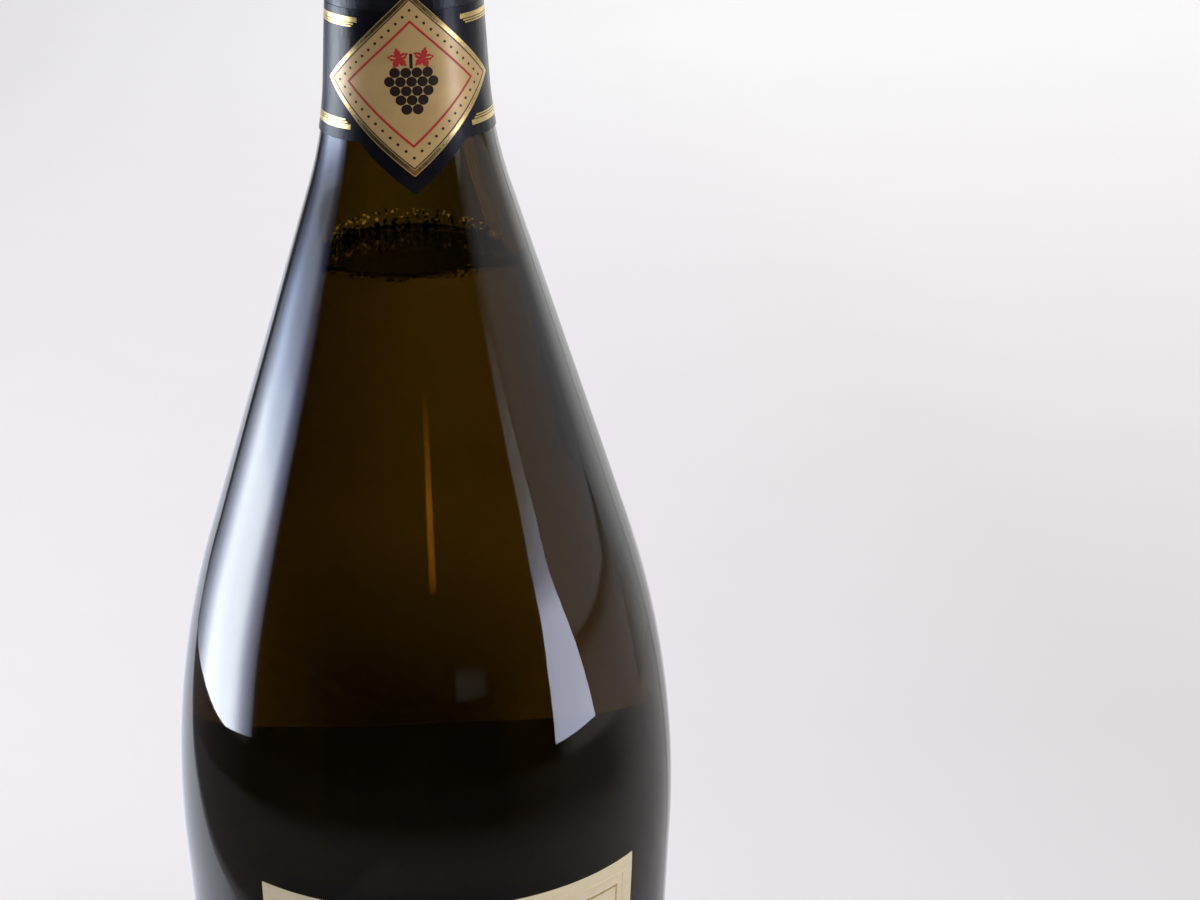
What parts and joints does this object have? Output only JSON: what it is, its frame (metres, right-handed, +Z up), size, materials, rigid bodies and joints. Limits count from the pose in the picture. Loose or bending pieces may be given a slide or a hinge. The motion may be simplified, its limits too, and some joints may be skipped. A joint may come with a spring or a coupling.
{
  "type": "sparkling wine bottle",
  "caption": "Sparkling wine bottle in dark olive-brown glass, with cork, wire cage with a pull loop, torn foil skirt, pointed neck collar, diamond medallion and cream paper labels.",
  "frame": {"origin": "centre of the foot, on the surface that the bottle stands on", "axes": "+Z up along the bottle's axis, -Y towards the middle of the front label, +X to the right of a person who faces that label"},
  "size_m": [0.0884, 0.0889, 0.3106],
  "materials": {
    "bottle_glass": "gloss",
    "wine": "gloss",
    "cork_granules": "matte",
    "natural_cork": "matte",
    "tinplate": "satin",
    "cage_wire": "satin",
    "black_foil": "satin",
    "collar_paper": "satin",
    "medallion_paper": "satin",
    "label_paper": "matte"
  },
  "bodies": {
    "bottle": {"glass_bottle": "bottle_glass", "wine": "wine", "foil_skirt": "black_foil", "neck_collar": "collar_paper", "neck_medallion": "medallion_paper", "front_label": "label_paper", "back_label": "label_paper"},
    "cork": {"cork_body": "cork_granules", "cork_disc_upper": "natural_cork", "cork_disc_lower": "natural_cork"},
    "cage": {"cage_cap_plate": "tinplate", "cage_top_ring": "cage_wire", "cage_leg_1": "cage_wire", "cage_leg_2": "cage_wire", "cage_leg_3": "cage_wire", "cage_leg_4": "cage_wire", "belt_wire": "cage_wire"},
    "loop_shank": {"loop_shank": "cage_wire"},
    "loop_eye": {"loop_eye": "cage_wire"}
  },
  "joints": [
    {"name": "cork_pull", "type": "slide", "parent": "bottle", "child": "cork", "axis": [0, 0, 1], "range_m": [0, 0.03]},
    {"name": "cage_lift", "type": "slide", "parent": "cork", "child": "cage", "axis": [0, 0, 1], "range_m": [0, 0.046], "deforming": ["belt_wire", "cage_leg_1", "cage_leg_2", "cage_leg_3", "cage_leg_4"]},
    {"name": "loop_swing", "type": "hinge", "parent": "cage", "child": "loop_shank", "pos_m": [0, 0.0175, 0.2661], "axis": [1, 0, 0], "range_deg": [-18, 85]},
    {"name": "loop_twist", "type": "hinge", "parent": "loop_shank", "child": "loop_eye", "pos_m": [0, 0.0187, 0.2656], "axis": [0, 0.4226, -0.9063], "range_deg": [0, 1080]}
  ]
}
